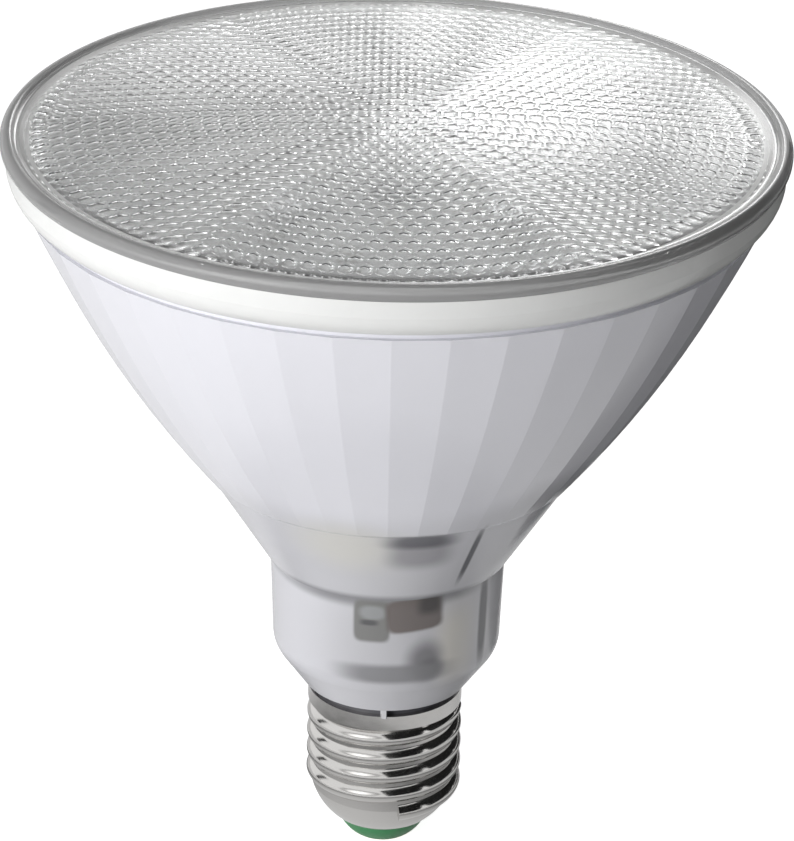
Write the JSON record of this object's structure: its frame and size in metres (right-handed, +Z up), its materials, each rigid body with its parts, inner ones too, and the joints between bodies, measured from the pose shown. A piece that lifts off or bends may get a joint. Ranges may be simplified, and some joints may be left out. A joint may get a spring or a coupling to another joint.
{
  "type": "led grow light bulb",
  "caption": "Reflector-shaped LED grow lamp: screw cap, translucent white housing and bowl, white collar ring and a clear prismatic glass lens over the emitters.",
  "frame": {"origin": "tip of the centre contact, the lowest point, on the lamp's axis", "axes": "+Z up along the lamp's axis from the cap to the glass; -Y faces the viewer, with one edge of the bowl's facets towards it; +X to the viewer's right"},
  "size_m": [0.127, 0.127, 0.1329],
  "materials": {
    "lens_glass": "clear, pressed",
    "gasket_silicone": "matt",
    "collar_plastic": "gloss white",
    "bowl_plastic": "gloss, translucent white",
    "housing_plastic": "gloss, translucent white",
    "cap_plating": "nickel plate",
    "insulator_plastic": "gloss green",
    "contact_brass": "polished",
    "reflector_plastic": "satin white",
    "board_white": "satin white",
    "led_white": "satin",
    "led_red": "satin",
    "led_blue": "satin",
    "screw_steel": "satin",
    "pad_silicone": "matt",
    "spreader_aluminium": "satin",
    "circuit_board": "satin green",
    "ferrite": "matt",
    "winding_tape": "satin",
    "capacitor_sleeve": "gloss",
    "film_brown": "gloss",
    "epoxy_black": "matt",
    "resistor_body": "satin",
    "lead_red": "satin",
    "lead_black": "satin",
    "lead_white": "satin"
  },
  "bodies": {
    "root": {"lens_cover": "lens_glass", "lens_gasket": "gasket_silicone", "collar_ring": "collar_plastic", "upper_housing": "bowl_plastic", "lower_housing": "housing_plastic", "cap_shell": "cap_plating", "cap_insulator": "insulator_plastic", "centre_contact": "contact_brass", "reflector": "reflector_plastic", "led_board": "board_white", "led_emitters_white": "led_white", "led_emitters_red": "led_red", "led_emitters_blue": "led_blue", "board_screws": "screw_steel", "thermal_pad": "pad_silicone", "heat_spreader": "spreader_aluminium", "driver_board": "circuit_board", "transformer_core": "ferrite", "transformer_winding": "winding_tape", "input_capacitor": "capacitor_sleeve", "output_capacitor": "capacitor_sleeve", "film_capacitor": "film_brown", "bridge_rectifier": "epoxy_black", "driver_chip": "epoxy_black", "choke": "ferrite", "fuse_resistor": "resistor_body", "live_lead": "lead_red", "neutral_lead": "lead_white", "led_lead_positive": "lead_red", "led_lead_negative": "lead_black"}
  },
  "joints": []
}
